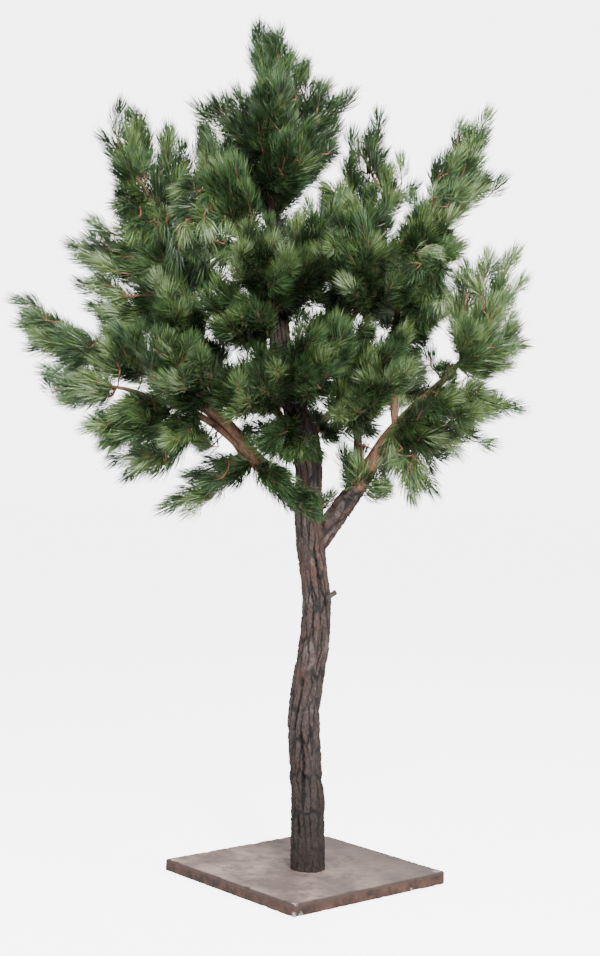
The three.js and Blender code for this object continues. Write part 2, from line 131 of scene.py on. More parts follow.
def sliceNode(triangles, origin, axis):
    # middle and mean radius of the outline that a flat cut square to the axis leaves
    heights = (triangles - origin) @ axis
    total, middle = 0.0, np.zeros(3)
    ends = []
    for a, b in ((0, 1), (1, 2), (2, 0)):
        crosses = heights[:, a] * heights[:, b] < 0
        share = np.where(crosses, heights[:, a] / (heights[:, a] - heights[:, b] + 1e-12), 0)
        ends.append((crosses, triangles[:, a] + (triangles[:, b] - triangles[:, a]) * share[:, None]))
    for (c0, p0), (c1, p1) in ((ends[0], ends[1]), (ends[1], ends[2]), (ends[2], ends[0])):
        both = c0 & c1
        length = np.linalg.norm(p0[both] - p1[both], axis=1)
        total += length.sum()
        middle += ((p0[both] + p1[both]) / 2 * length[:, None]).sum(0)
    if total == 0:
        return None
    return middle / total, total / (2 * math.pi)


def limbLine(name, look):
    # middles and girths of a limb from its thick end to its tip, by cutting its solid across
    triangles = nodeTriangles(name)
    points = triangles.reshape(-1, 3)
    if name == "trunk":
        count = look["trunkSlices"]
        axis = np.array((0.0, 0.0, 1.0))
    else:
        count = look["boughSlices"]
        axis = np.linalg.svd(points - points.mean(0), full_matrices=False)[2][0]
    reach = points @ axis
    found = []
    for step in range(count):
        level = reach.min() + (reach.max() - reach.min()) * (0.004 + 0.992 * step / (count - 1))
        cut = sliceNode(triangles, axis * level, axis)
        if cut:
            found.append(cut)
    third = len(found) // 3
    if sum(c[1] for c in found[:third]) < sum(c[1] for c in found[-third:]):
        found.reverse()
    middles = np.array([c[0] for c in found])
    girths = np.array([c[1] for c in found])
    if name != "trunk":  # the first two cuts catch only part of the bough
        for i in (1, 0):
            middles[i] = 2 * middles[i + 1] - middles[i + 2]
            girths[i] = girths[i + 1]
    tangents = np.gradient(middles, axis=0)
    lean = np.abs(tangents @ axis) / np.linalg.norm(tangents, axis=1)
    girths = girths * (0.5 + 0.5 * lean)  # a slanting cut is wider than the limb
    for _ in range(2):
        middles[1:-1] = (middles[:-2] + 2 * middles[1:-1] + middles[2:]) / 4
        girths[1:-1] = (girths[:-2] + 2 * girths[1:-1] + girths[2:]) / 4
    if name == "trunk":
        middles[0][2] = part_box("slab")[1].z - 0.001  # the foot stands a hair into the slab
    else:
        back = middles[0] - middles[2]
        back *= girths[1] / np.linalg.norm(back)
        middles = np.vstack([[middles[0] + back * share for share in look["rootInset"]], middles])
        girths = np.concatenate([girths[1] * np.array(look["rootGirth"]), girths])
    return middles, girths


def settleRoots(lines, look):
    # the led-back start of every bough is turned to the middle of the limb it leaves
    for name, (middles, girths) in lines.items():
        if name == "trunk":
            continue
        start = middles[len(look["rootInset"])]
        others = np.concatenate([line for n, (line, _) in lines.items() if n != name])
        parent = others[np.argmin(np.linalg.norm(others - start, axis=1))]
        if np.linalg.norm(parent - start) < look["rootReach"]:
            middles[0] = parent + (start - parent) * 0.15
            middles[1] = parent + (start - parent) * 0.60


limbNames = ["trunk"] + sorted(n for n in nodes if n.startswith("bough_"))
limbLines = {n: limbLine(n, limbLook) for n in limbNames}
settleRoots(limbLines, limbLook)
print("limb lines measured:", len(limbLines))


def walkLimb(name, spacing, coarseFrom=99.0):
    # even steps along a limb, twice as long past coarseFrom: places, girths and distances from its start
    middles, girths = limbLines[name]
    along = np.concatenate([[0], np.cumsum(np.linalg.norm(np.diff(middles, axis=0), axis=1))])
    turnPoint = min(coarseFrom, along[-1])
    steps = np.linspace(0, turnPoint, max(3, int(turnPoint / spacing)))
    if along[-1] > turnPoint:
        rest = np.linspace(turnPoint, along[-1], int((along[-1] - turnPoint) / (spacing * 2)))
        steps = np.concatenate([steps, rest[1:]])
    places = np.stack([np.interp(steps, along, middles[:, i]) for i in range(3)], axis=1)
    return places, np.interp(steps, along, girths), steps


# bark: each limb is a sheet of small cells wrapped round its line and worked into plates

barkLook = {
    "trunkStep": 0.0036,
    "aroundStep": 0.0025,
    "boughStep": 0.0040,
    "coarseFrom": 1.60,  # higher up the trunk is behind the foliage
    "plateWide": 0.027,
    "plateLong": 0.125,
    "plateRagged": 0.42,  # how far a plate's edge strays, in plates
    "plateFray": (0.13, 0.05),  # and in its small teeth, across and along
    "furrowWide": (0.05, 0.32),  # from full depth to none, by plateGap
    "furrowDeep": 0.0062,
    "flakeWide": 0.012,
    "flakeLong": 0.034,
    "flakeDeep": 0.0016,
    "grain": 0.0014,
    "lumps": 0.0045,
    "knobs": 0.0030,
    "smoothGirth": 0.030,  # limbs thinner than this have hardly any plates
    "oldBark": {"bough_right": 0.260, "bough_left": 0.120},  # how far it runs up from a bough's start
    "oldBarkElse": -0.05,  # the other boughs have none
    "oldBarkProud": 0.0025,  # how far it stands above the young bark
    "footTop": 0.26,  # below this the trunk's furrows get shallower
    "footLow": 0.12,
    "seed": 3.7,
}

# long marks down the trunk: heights and turns (degrees, 0 faces the camera), half width, depth
trunkMarks = [
    {"path": [(1.150, 14), (1.080, 19), (1.010, 26), (0.950, 46)], "wide": 0.0035, "deep": 0.010},
    {"path": [(1.130, 34), (1.060, 38), (0.960, 62)], "wide": 0.017, "deep": -0.010},
    {"path": [(1.320, -38), (1.250, -40), (1.190, -44)], "wide": 0.003, "deep": 0.008},
    {"path": [(1.330, 4), (1.260, 2), (1.190, -8)], "wide": 0.003, "deep": 0.008},
    {"path": [(1.010, -12), (0.900, -16), (0.850, -8)], "wide": 0.003, "deep": 0.008},
    {"path": [(0.890, 24), (0.800, 30), (0.730, 22)], "wide": 0.003, "deep": 0.008},
    {"path": [(0.700, -30), (0.675, -26)], "wide": 0.009, "deep": 0.012},
    {"path": [(0.665, -20), (0.600, -24), (0.520, -44)], "wide": 0.004, "deep": 0.009},
    {"path": [(0.510, -15), (0.430, -6), (0.345, -14), (0.262, -22)], "wide": 0.0065, "deep": 0.012},
    {"path": [(0.515, 27), (0.440, 30)], "wide": 0.003, "deep": 0.008},
    {"path": [(0.330, 38), (0.260, 50)], "wide": 0.0035, "deep": 0.007},
    {"path": [(0.222, -38), (0.165, -32)], "wide": 0.0070, "deep": 0.013},
]


def markDepth(height, turn, girth, marks):
    # depth cut at a place by the long marks, and how much painted shade the deepest of them leaves in it
    depth, markShade = 0.0, 0.0
    for mark in marks:
        path = mark["path"]
        top, bottom = path[0][0], path[-1][0]
        if not bottom - 0.02 < height < top + 0.02:
            continue
        aim = path[0][1]
        for (h0, t0), (h1, t1) in zip(path, path[1:]):
            if height <= h0:
                aim = t0 + (t1 - t0) * clamp((h0 - height) / (h0 - h1))
        wander = noise.noise(Vector((turn / 15, mark["wide"] * 900, height / 0.018))) * 0.005
        fray = noise.noise(Vector((turn / 5, 7.7, height / 0.005))) * 0.0022
        gap = math.radians((turn - aim + 180) % 360 - 180) * girth + wander + fray
        ends = ease(-0.018, 0.012, height - bottom) * ease(-0.018, 0.012, top - height)
        share = math.exp(-((gap / mark["wide"]) ** 2)) * ends
        depth += mark["deep"] * share
        if mark["deep"] > 0:
            markShade = max(markShade, ease(0.25, 0.75, share))
    return depth, markShade


def plateGap(column, row, centres):
    # how much nearer a place is to its own plate's centre than to the next plate's: 0 in the fissures
    columns, rows = centres.shape[:2]
    nearest, second = 9.0, 9.0
    for i in range(math.floor(column) - 1, math.floor(column) + 2):
        for j in range(math.floor(row) - 1, math.floor(row) + 2):
            x, y = centres[i % columns, j % rows]
            gap = math.hypot(i + x - column, j + y - row)
            if gap < nearest:
                nearest, second = gap, nearest
            elif gap < second:
                second = gap
    return second - nearest


def barkShape(x, y, along, girth, age, share, centres, look):
    # height of the bark above the limb's round, and how deep in a furrow or a flake's gap the place is,
    # which the bark's colour turns near black as painted shade
    thick = ease(look["smoothGirth"] * 0.4, look["smoothGirth"] * 1.1, girth) * age
    seed = look["seed"]
    bend = noise.noise_vector(Vector((x / 0.05 + seed, y / 0.05, along / 0.07)))
    fray = noise.noise_vector(Vector((x / 0.010, y / 0.010 + seed, along / 0.014)))
    column = share * len(centres) + bend.x * look["plateRagged"] + fray.x * look["plateFray"][0]
    row = along / look["plateLong"] + bend.y * look["plateRagged"] + fray.y * look["plateFray"][1]
    faint = ease(-0.35, 0.15, noise.noise(Vector((x / 0.05, y / 0.05 - seed, along / 0.10))))
    crack = 1 - ease(*look["furrowWide"], plateGap(column, row, centres))
    crack *= 0.5 + 0.5 * faint
    flake = Vector((x / look["flakeWide"], y / look["flakeWide"], along / look["flakeLong"]))
    gaps = noise.voronoi(flake + fray * 0.3)[0]
    chip = 1 - ease(0.02, 0.25, gaps[1] - gaps[0])
    tone = noise.fractal(Vector((x / 0.006, y / 0.006, along / 0.009)), 0.9, 2.1, 3)
    lump = noise.noise(Vector((x / 0.09 + seed, y / 0.09, along / 0.16)))
    height = -crack * look["furrowDeep"] * thick
    height -= chip * look["flakeDeep"] * (0.25 + 0.75 * thick)
    height += tone * look["grain"] * (0.3 + 0.7 * thick)
    height += lump * look["lumps"] * min(1, girth / 0.05)
    knob = noise.noise(Vector((x / 0.022, y / 0.022 + seed, along / 0.045)))
    height += knob * look["knobs"] * (0.2 + 0.8 * thick) * min(1, girth / 0.05)
    return height, max(crack, chip * 0.42) * (0.2 + 0.8 * thick)


def limbSkin(bm, name, look, furrowShade, young):
    # a grid's columns go round the limb and its rows along it, then its two side edges are merged
    onTrunk = name == "trunk"
    spacing = look["trunkStep"] if onTrunk else look["boughStep"]
    places, girths, steps = walkLimb(name, spacing, look["coarseFrom"])
    rows = len(places)
    aroundStep = look["aroundStep"] if onTrunk else spacing
    sides = max(10, int(2 * math.pi * girths.max() / aroundStep))
    corners = bmesh.ops.create_grid(bm, x_segments=sides, y_segments=rows - 1, size=1)["verts"]
    side = treeRight.copy()
    frames = []
    for row in range(rows):
        forward = Vector(places[min(row + 1, rows - 1)] - places[max(row - 1, 0)]).normalized()
        if onTrunk:
            forward = Vector((0, 0, 1))
        side = (side - forward * side.dot(forward)).normalized()
        frames.append((Vector(places[row]), side.copy(), forward.cross(side)))
    offset = sum(ord(c) for c in name) * 0.37
    columns = max(5, round(2 * math.pi * float(girths.max()) / look["plateWide"]))
    rng = np.random.default_rng(sum(ord(c) for c in name))
    centres = rng.uniform((0.22, 0.05), (0.78, 0.95), size=(columns, 40, 2))
    oldBark = look["oldBark"].get(name, look["oldBarkElse"])
    for corner in corners:
        row = int(round((corner.co.y + 1) / 2 * (rows - 1)))
        share = round((corner.co.x + 1) / 2 * sides) % sides / sides
        angle = share * 2 * math.pi
        girth = float(girths[row])
        x, y = math.cos(angle), math.sin(angle)
        run = float(steps[row])
        edge = noise.noise(Vector((x * 2, y * 2, offset))) * 0.02
        age = 1.0 if onTrunk else 1 - ease(-0.012, 0.012, run + edge - oldBark)
        place = (x * girth + offset, y * girth, run + offset)
        height, crack = barkShape(*place, girth, age, share, centres, look)
        height += look["oldBarkProud"] * age * (0 if onTrunk else 1)
        middle, across, up = frames[row]
        if onTrunk:
            low = ease(look["footTop"], look["footLow"], middle.z)
            height *= 1 - 0.4 * low
            crack *= 1 - 0.15 * low
            depth, markShade = markDepth(middle.z, math.degrees(math.atan2(x, -y)), girth, trunkMarks)
            height -= depth
            crack = max(crack, markShade)
        endRound = 1.0 if onTrunk else ease(-0.5, 3.0, rows - 1 - row)
        corner.co = middle + (across * x + up * y) * (girth + height) * endRound
        # painted shade: how far the bark's colour turns near black here, deepest in the furrows, flake gaps
        # and cut marks
        corner[furrowShade] = crack
        corner[young] = 1 - age
    bmesh.ops.remove_doubles(bm, verts=corners, dist=1e-6)


def barkPiece(name, limbs, slot, look):
    bm = bmesh.new()
    furrowShade = bm.verts.layers.float.new("furrowShade")
    young = bm.verts.layers.float.new("young")
    for limb in limbs:
        limbSkin(bm, limb, look, furrowShade, young)
    bmesh.ops.holes_fill(bm, edges=[e for e in bm.edges if e.is_boundary], sides=0)
    bmesh.ops.recalc_face_normals(bm, faces=bm.faces)
    return addPiece(name, meshFrom(bm, name), slot, *limbs)


trunkBark = barkPiece("trunkBark", ["trunk"], "trunk_bark", barkLook)
print("trunk bark:", len(trunkBark.data.polygons))
boughBark = barkPiece("boughBark", limbNames[1:], "bough_bark", barkLook)
print("bough bark:", len(boughBark.data.polygons))

# fittings on the limbs: a broken stub, two sawn ends and two wire ties

fittingLook = {
    "stub": {"height": 0.974, "turn": 84, "radius": 0.0085, "length": 0.024, "rise": 38},
    "sawnEnds": [
        {"limb": "bough_right", "height": 1.500, "turn": 52, "radius": 0.019, "length": 0.034, "rise": 10},
        {"limb": "bough_right", "height": 1.600, "turn": 30, "radius": 0.013, "length": 0.028, "rise": 15},
    ],
    "ties": [{"height": 1.292, "wire": 0.0016}, {"height": 1.340, "wire": 0.0011}],
    "ragged": 0.35,  # how rough the broken stub and the sawn ends are, in their radius
    "sawn": 0.12,
}


def limbAt(name, height):
    # middle, girth and direction of a limb at a height
    middles, girths = limbLines[name]
    i = int(np.argmin(np.abs(middles[:, 2] - height)))
    low, high = max(i - 1, 0), min(i + 1, len(middles) - 1)
    order = [low, high] if middles[low][2] < middles[high][2] else [high, low]
    share = (height - middles[order[0]][2]) / (middles[order[1]][2] - middles[order[0]][2])
    middle = middles[order[0]] + (middles[order[1]] - middles[order[0]]) * share
    return Vector(middle), float(girths[i]), Vector(middles[high] - middles[low]).normalized()


def branchEnd(bm, limb, spec, rough, cutMaterial):
    # a short piece of branch standing out of a limb, its end face in its own material
    middle, girth, _ = limbAt(limb, spec["height"])
    turn = math.radians(spec["turn"])
    out = treeRight * math.sin(turn) - treeAway * math.cos(turn)
    aim = (out + Vector((0, 0, math.tan(math.radians(spec["rise"]))))).normalized()
    length = girth * 0.5 + spec["length"]
    centre = middle + out * girth * 0.6 + aim * length / 2
    matrix = Matrix.Translation(centre) @ aim.to_track_quat("Z", "Y").to_matrix().to_4x4()
    foot, tip = spec["radius"] * 1.35, spec["radius"]
    verts = bmesh.ops.create_cone(
        bm, cap_ends=True, segments=22, radius1=foot, radius2=tip, depth=length, matrix=matrix
    )["verts"]
    faces = {f for v in verts for f in v.link_faces}
    end = max(faces, key=lambda f: f.calc_center_median().dot(aim))
    bmesh.ops.inset_region(bm, faces=[end], thickness=spec["radius"] * 0.18, depth=0)
    end.material_index = cutMaterial
    edges = list({e for f in faces for e in f.edges if e.calc_length() > length * 0.6})
    bmesh.ops.subdivide_edges(bm, edges=edges, cuts=6, use_grid_fill=True)
    for v in {v for f in bm.faces for v in f.verts if (v.co - centre).length < length}:
        stray = noise.noise(v.co * 160)
        v.co += (v.co - centre).normalized() * stray * spec["radius"] * rough


def fittingsPiece(look):
    bm = bmesh.new()
    branchEnd(bm, "trunk", look["stub"], look["ragged"], 0)
    for spec in look["sawnEnds"]:
        branchEnd(bm, spec["limb"], spec, look["sawn"], 1)
    bmesh.ops.recalc_face_normals(bm, faces=bm.faces)
    return addPiece("branchEnds", meshFrom(bm, "branchEnds"), "bough_bark")


def tiesPiece(look):
    bm = bmesh.new()
    for tie in look["ties"]:
        middle, girth, forward = limbAt("bough_right", tie["height"])
        across = forward.orthogonal().normalized()
        reach = girth + tie["wire"] + barkLook["oldBarkProud"] * 0.6
        ring = Matrix.Translation(middle + across * reach)
        ring = ring @ across.cross(forward).to_track_quat("Z", "Y").to_matrix().to_4x4()
        circle = bmesh.ops.create_circle(bm, segments=8, radius=tie["wire"], matrix=ring)["verts"]
        edges = list({e for v in circle for e in v.link_edges})
        bmesh.ops.spin(
            bm, geom=circle + edges, cent=middle, axis=forward, angle=2 * math.pi, steps=48, use_merge=True
        )
    bmesh.ops.remove_doubles(bm, verts=bm.verts, dist=1e-6)
    bmesh.ops.recalc_face_normals(bm, faces=bm.faces)
    return addPiece("wireTies", meshFrom(bm, "wireTies"), "bough_bark")


branchEnds = fittingsPiece(fittingLook)
wireTies = tiesPiece(fittingLook)
print("branch ends and ties:", len(branchEnds.data.polygons), len(wireTies.data.polygons))

# slab: a cast square, its rims worn, chipped and a little wavy

slabLook = {
    "cell": 0.006,
    "layers": 6,
    "rimWear": 0.0030,
    "rimReach": 0.010,  # how far in from the top rim the wear fades, then from the bottom rim
    "footReach": 0.012,
    "chip": 0.008,
    "wave": 0.0022,
    "waveReach": 0.006,
    "bevel": 0.004,
    "wornCorner": (0.335, -0.335),
    "wornRadius": 0.022,
    "whiteSpots": (  # x, y, z, reach of chalky chips
        (-0.338, -0.338, 0.042, 0.014),
        (-0.350, -0.350, 0.008, 0.012),
        (-0.322, -0.350, 0.002, 0.012),
        (0.325, -0.325, 0.042, 0.016),
        (0.180, -0.350, 0.001, 0.010),
        (-0.338, 0.318, 0.042, 0.010),
    ),
    "seed": 9.2,
}


def slabPiece(look):
    low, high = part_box("slab")
    size = high - low
    middle = (low + high) / 2
    bm = bmesh.new()
    bmesh.ops.create_cube(bm, size=1)
    bmesh.ops.scale(bm, vec=size, verts=bm.verts)
    bmesh.ops.translate(bm, vec=middle, verts=bm.verts)
    upright = [e for e in bm.edges if abs(e.verts[0].co.z - e.verts[1].co.z) > 0.01]
    worn = Vector((*look["wornCorner"], middle.z))
    wornEdge = min(upright, key=lambda e: ((e.verts[0].co + e.verts[1].co) / 2 - worn).length)
    bmesh.ops.bevel(
        bm, geom=[wornEdge], offset=look["wornRadius"], affect="EDGES", segments=6, profile=0.5, material=-1
    )
    sharp = [e for e in bm.edges if e.calc_face_angle(0) > 0.5]
    bmesh.ops.bevel(
        bm, geom=sharp, offset=look["bevel"], affect="EDGES", segments=3, profile=0.5, material=-1
    )
    for axis, count in enumerate((int(size.x / look["cell"]), int(size.y / look["cell"]), look["layers"])):
        step = size.z / count if axis == 2 else look["cell"]
        for number in range(1, count):
            place, normal = Vector(), Vector()
            place[axis], normal[axis] = low[axis] + step * number, 1
            parts = bm.verts[:] + bm.edges[:] + bm.faces[:]
            bmesh.ops.bisect_plane(bm, geom=parts, plane_co=place, plane_no=normal)
    wear = bm.verts.layers.float.new("wear")
    chalk = bm.verts.layers.float.new("chalk")
    flank = bm.verts.layers.float.new("flank")
    shift = Vector((look["seed"], 0, 0))
    for v in bm.verts:
        fromSide = min(size.x / 2 - abs(v.co.x - middle.x), size.y / 2 - abs(v.co.y - middle.y))
        fromTop, fromFoot = high.z - v.co.z, v.co.z - low.z
        rim = math.exp(-math.hypot(fromSide, fromTop) / look["rimReach"])
        foot = math.exp(-math.hypot(fromSide, fromFoot) / look["footReach"])
        side = math.exp(-fromSide / look["waveReach"])
        rough = noise.fractal(v.co * 38 + shift, 0.8, 2.1, 4)
        wave = noise.noise(v.co * 11 - shift)
        bite = ease(0.15, 0.6, noise.noise(v.co * 26 + shift.zxy)) * rim
        drip = ease(0.05, 0.5, noise.noise(v.co * 30 - shift.zxy)) * foot
        inward = Vector((middle.x - v.co.x, middle.y - v.co.y, 0)).normalized()
        eaten = rim * look["rimWear"] * (abs(rough) - 0.1) + bite * look["chip"]
        eaten += side * look["wave"] * wave * 1.5 + (drip * 1.8 - 0.1) * look["rimWear"]
        if v.co.z > low.z + 0.001:
            v.co.z -= (rim * 0.4 + bite * 0.5) * look["chip"] * (0.4 + abs(rough)) * 0.6
            v.co.z += 0.0007 * rough * (1 if fromTop < 0.001 else 0) - 0.0007
        v.co += inward * eaten
        v[wear] = clamp(rim * 1.3 + bite + drip * 0.5)
        v[flank] = ease(0.002, 0.006, fromTop)
        speck = noise.noise(v.co * 140 + shift)
        for x, y, z, reach in look["whiteSpots"]:
            near = 1 - (v.co - Vector((x, y, z))).length / reach
            v[chalk] = max(v[chalk], clamp(near * 0.9 + speck * 0.9 + rough * 0.4) if near > 0 else 0)
    bmesh.ops.recalc_face_normals(bm, faces=bm.faces)
    return addPiece("slabCast", meshFrom(bm, "slabCast"), "slab", "slab")


slabCast = slabPiece(slabLook)
print("slab:", len(slabCast.data.polygons))

# foliage: sprays placed through every mass, joined to their limb by twigs

foliageLook = {
    "surfaceGap": 0.044,  # between spray tips over a mass's outside
    "surfaceOut": 0.016,  # how far they stand out of it
    "surfaceTries": 800,
    "insideGap": 0.052,
    "insideTries": 600,
    "hornGap": 0.040,
    "hornOut": 0.028,
    "hornWide": 0.055,  # corners this close make up one horn's end
    "hornDeep": 0.030,
    "hornsMost": 12,
    "rootClear": (0.08, 0.09),  # round the root, kept free of tips over the outside and inside
    "rootSearch": 0.09,  # limbs this close to a mass can carry it
    "limbGap": 0.060,  # along the limbs, for sprays on short side twigs
    "limbTurn": 2.4,  # radians round the limb from one to the next
    "limbForward": 0.7,
    "limbLift": 0.35,
    "limbSprayLength": (0.095, 0.125),
    "limbTwig": (0.02, 0.09),
    "trunkBareTo": 1.9,
    "boughBare": 0.38,  # share of a bough that has no side twigs
    "sprayLength": (0.110, 0.155),
    "sprayShortest": 0.07,
    "needleLength": (0.062, 0.084),
    "needleWidth": 0.0022,
    "needleTurn": 2.39996,  # radians round the shoot from one to the next
    "needleDroop": 0.06,
    "needlesPerSpray": 132,  # on a spray of fullSpray length
    "fullSpray": 0.13,
    "opening": (13, 54),  # degrees from the shoot, at its end and its foot
    "closing": 0.55,  # share of that angle left at the needle's tip
    "outward": 0.30,
    "lift": 0.34,  # how far sprays turn up towards the light
    "scatter": 0.34,
    "leans": (0, 0.5, 1.1, 2.5),  # tried in turn until a spray's foot is in its mass
    "crownTop": (2.42, 2.72),  # between these the needles get darker
    "crownDark": 0.4,
    "infillTries": 160,
    "twigDetour": 0.35,  # how much a twig's length back to the limb counts against joining it
    "twigShortest": 0.012,
    "twigStray": 0.05,
    "twigSag": 0.06,
    "pieceTriangles": 185000,
    "seed": 41,
}

limbSpots = [Vector(place) for limb in limbNames for place in walkLimb(limb, spacing=0.02)[0]]
massNames = sorted(n for n in nodes if n.startswith("foliage_"))


def massTree(triangles):
    corners = [Vector(p) for p in triangles.reshape(-1, 3)]
    return BVHTree.FromPolygons(corners, [(i, i + 1, i + 2) for i in range(0, len(corners), 3)])


def insideMass(tree, point):
    # a ray from inside leaves the mass an odd number of times
    hits, start, aim = 0, point.copy(), Vector((0.13, 0.21, 0.97))
    for _ in range(24):
        place = tree.ray_cast(start, aim)[0]
        if place is None:
            break
        hits += 1
        start = place + aim * 1e-5
    return hits % 2 == 1


def massRoot(tree, middle, look):
    # the limb point that the mass grows from: of those close by, the one farthest from its middle
    near = []
    for spot in limbSpots:
        found = tree.find_nearest(spot, look["rootSearch"])
        if found[0] is not None:
            near.append((found[3], spot))
    if not near:
        return min(limbSpots, key=lambda s: (s - middle).length)
    closest = min(n[0] for n in near)
    choice = [n[1] for n in near if n[0] < closest + 0.02]
    return max(choice, key=lambda s: (s - middle).length)


def spaced(candidates, taken, gap, limit=1000):
    # the candidates that keep their distance from all taken so far
    chosen = []
    for c in candidates:
        if all((c[0] - t).length > gap for t in taken):
            taken.append(c[0])
            chosen.append(c)
            if len(chosen) == limit:
                break
    return chosen


def hornTips(triangles, root, look):
    # a tip at the middle of the corners that make up each horn's end, the farthest first
    corners = sorted({tuple(np.round(p, 5)) for p in triangles.reshape(-1, 3)})
    corners = sorted((Vector(c) for c in corners), key=lambda c: -(c - root).length)
    farthest = (corners[0] - root).length
    horns = []
    for c in corners:
        reach = (c - root).length
        if reach <= farthest * 0.5:
            continue
        end = [o for o in corners if (o - c).length < look["hornWide"]]
        end = [o for o in end if (o - root).length > reach - look["hornDeep"]]
        middle = sum(end, Vector()) / len(end)
        heading = (middle - root).normalized()
        horns.append((middle + (c - middle) * 0.3 + heading * look["hornOut"], heading, False))
    return horns


def surfaceTips(triangles, root, look, rng):
    areas = np.linalg.norm(
        np.cross(triangles[:, 1] - triangles[:, 0], triangles[:, 2] - triangles[:, 0]), axis=1
    )
    surface = []
    for index in rng.choice(len(triangles), look["surfaceTries"], p=areas / areas.sum()):
        u, v = rng.random(2)
        if u + v > 1:
            u, v = 1 - u, 1 - v
        a, b, c = triangles[index]
        place = Vector(a + (b - a) * u + (c - a) * v)
        normal = Vector(np.cross(b - a, c - a)).normalized()
        if (place - root).length > look["rootClear"][0]:
            surface.append((place + normal * look["surfaceOut"], normal, False))
    return surface


def insideTips(name, tree, root, look, rng):
    low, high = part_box(name)
    inside = []
    for _ in range(look["insideTries"]):
        place = Vector([low[i] + (high[i] - low[i]) * rng.random() for i in range(3)])
        if (place - root).length > look["rootClear"][1] and insideMass(tree, place):
            inside.append((place, (place - root).normalized(), True))
    return inside


def sprayTips(name, tree, triangles, root, look, rng):
    # every tip with the way it faces and whether it is an inner one
    taken = []
    tips = spaced(hornTips(triangles, root, look), taken, look["hornGap"], look["hornsMost"])
    tips += spaced(surfaceTips(triangles, root, look, rng), taken, look["surfaceGap"])
    tips += spaced(insideTips(name, tree, root, look, rng), taken, look["insideGap"])
    return tips


def layTwigs(root, sprays, look, rng):
    # each spray joins the nearest twig point that is closer to the limb
    points = [{"place": root, "from": None, "load": 0, "reach": 0.0}]
    for spray in sorted(sprays, key=lambda s: (s["base"] - root).length):
        base = spray["base"]
        best, bestCost = 0, 1e9
        for i, p in enumerate(points):
            gap = (base - p["place"]).length
            cost = gap + look["twigDetour"] * p["reach"]
            if gap > look["twigShortest"] and cost < bestCost:
                best, bestCost = i, cost
        start, reach = points[best]["place"], points[best]["reach"]
        span = (base - start).length
        stray = Vector(rng.normal(size=3)) * span * look["twigStray"]
        middle = start.lerp(base, 0.5) + stray - spray["heading"] * span * look["twigSag"]
        points.append({"place": middle, "from": best, "load": 0, "reach": reach + span / 2})
        points.append({"place": base, "from": len(points) - 1, "load": 0, "reach": reach + span})
        spray["point"] = len(points) - 1
    for spray in sprays:
        at = spray["point"]
        while at is not None:
            points[at]["load"] += 1
            at = points[at]["from"]
    return points


def newSpray(tip, heading, length, deep=False):
    base = tip - heading * length
    return {"tip": tip, "heading": heading, "length": length, "base": base, "deep": deep}


def growMass(name, look, rng):
    triangles = nodeTriangles(name)
    tree = massTree(triangles)
    root = massRoot(tree, Vector(triangles.reshape(-1, 3).mean(0)), look)
    sprays = []
    for tip, normal, deep in sprayTips(name, tree, triangles, root, look, rng):
        away = tip - root
        wander = Vector(rng.normal(size=3)) * look["scatter"]
        wish = away.normalized() + normal * look["outward"] + Vector((0, 0, look["lift"])) + wander
        length = min(rng.uniform(*look["sprayLength"]), max(look["sprayShortest"], away.length * 0.95))
        for lean in look["leans"]:
            heading = (wish.normalized() + away.normalized() * lean).normalized()
            spray = newSpray(tip, heading, length, deep)
            if tree.find_nearest(spray["base"], 0.012)[0] is not None or insideMass(tree, spray["base"]):
                break
        sprays.append(spray)
    return sprays, layTwigs(root, sprays, look, rng)


infill = {  # small growths that close the crown between the masses: side, away, height and reach
    "leaderRightLow": (0.015, 0.000, 2.400, 0.080),
    "leaderRight": (0.030, 0.060, 2.550, 0.060),
    "leaderLeft": (-0.415, -0.020, 2.610, 0.045),
    "leftInner": (-0.350, -0.060, 2.160, 0.080),
    "leftHeart": (-0.350, -0.120, 1.845, 0.065),
    "centreRight": (0.025, -0.060, 2.035, 0.065),
    "rightHeart": (0.165, 0.000, 1.920, 0.065),
    "rightGap": (0.335, -0.060, 1.920, 0.090),
    "rightGapLow": (0.420, -0.090, 1.800, 0.060),
    "rightNotch": (0.265, 0.040, 2.280, 0.050),
    "rightSaddle": (0.340, 0.020, 2.360, 0.045),
    "rightPoint": (0.485, -0.020, 2.275, 0.030),
    "rightTallPoint": (0.590, 0.050, 2.505, 0.030),
    "forkBehindHigh": (0.070, 0.120, 1.570, 0.065),
    "forkBehindLow": (0.045, 0.100, 1.345, 0.045),
    "rightFork": (0.210, 0.060, 1.580, 0.050),
    "underRight": (0.250, -0.060, 1.375, 0.055),
    "leftPoint": (-0.905, -0.060, 1.770, 0.050),
    "aboveLeft": (-0.235, -0.030, 1.580, 0.045),
    "leftLow": (-0.705, -0.200, 1.480, 0.045),
    "leftHang": (-0.430, -0.090, 1.500, 0.045),
    "centreBehind": (-0.020, 0.080, 1.660, 0.045),
    "topPoint": (-0.205, 0.000, 2.965, 0.025),
    "topRight": (-0.055, 0.040, 2.860, 0.030),
    "rightLowPoint": (0.520, -0.140, 1.580, 0.040),
    "backLeft": (-0.580, 0.380, 1.950, 0.110),
    "backCentre": (-0.050, 0.500, 2.200, 0.110),
    "backRight": (0.420, 0.300, 2.050, 0.110),
    "backLow": (0.100, 0.520, 1.950, 0.090),
    "backLeftInner": (-0.430, 0.240, 2.130, 0.105),
    "backMiddle": (0.010, 0.350, 2.250, 0.105),
    "backRightInner": (0.335, 0.160, 2.120, 0.085),
}


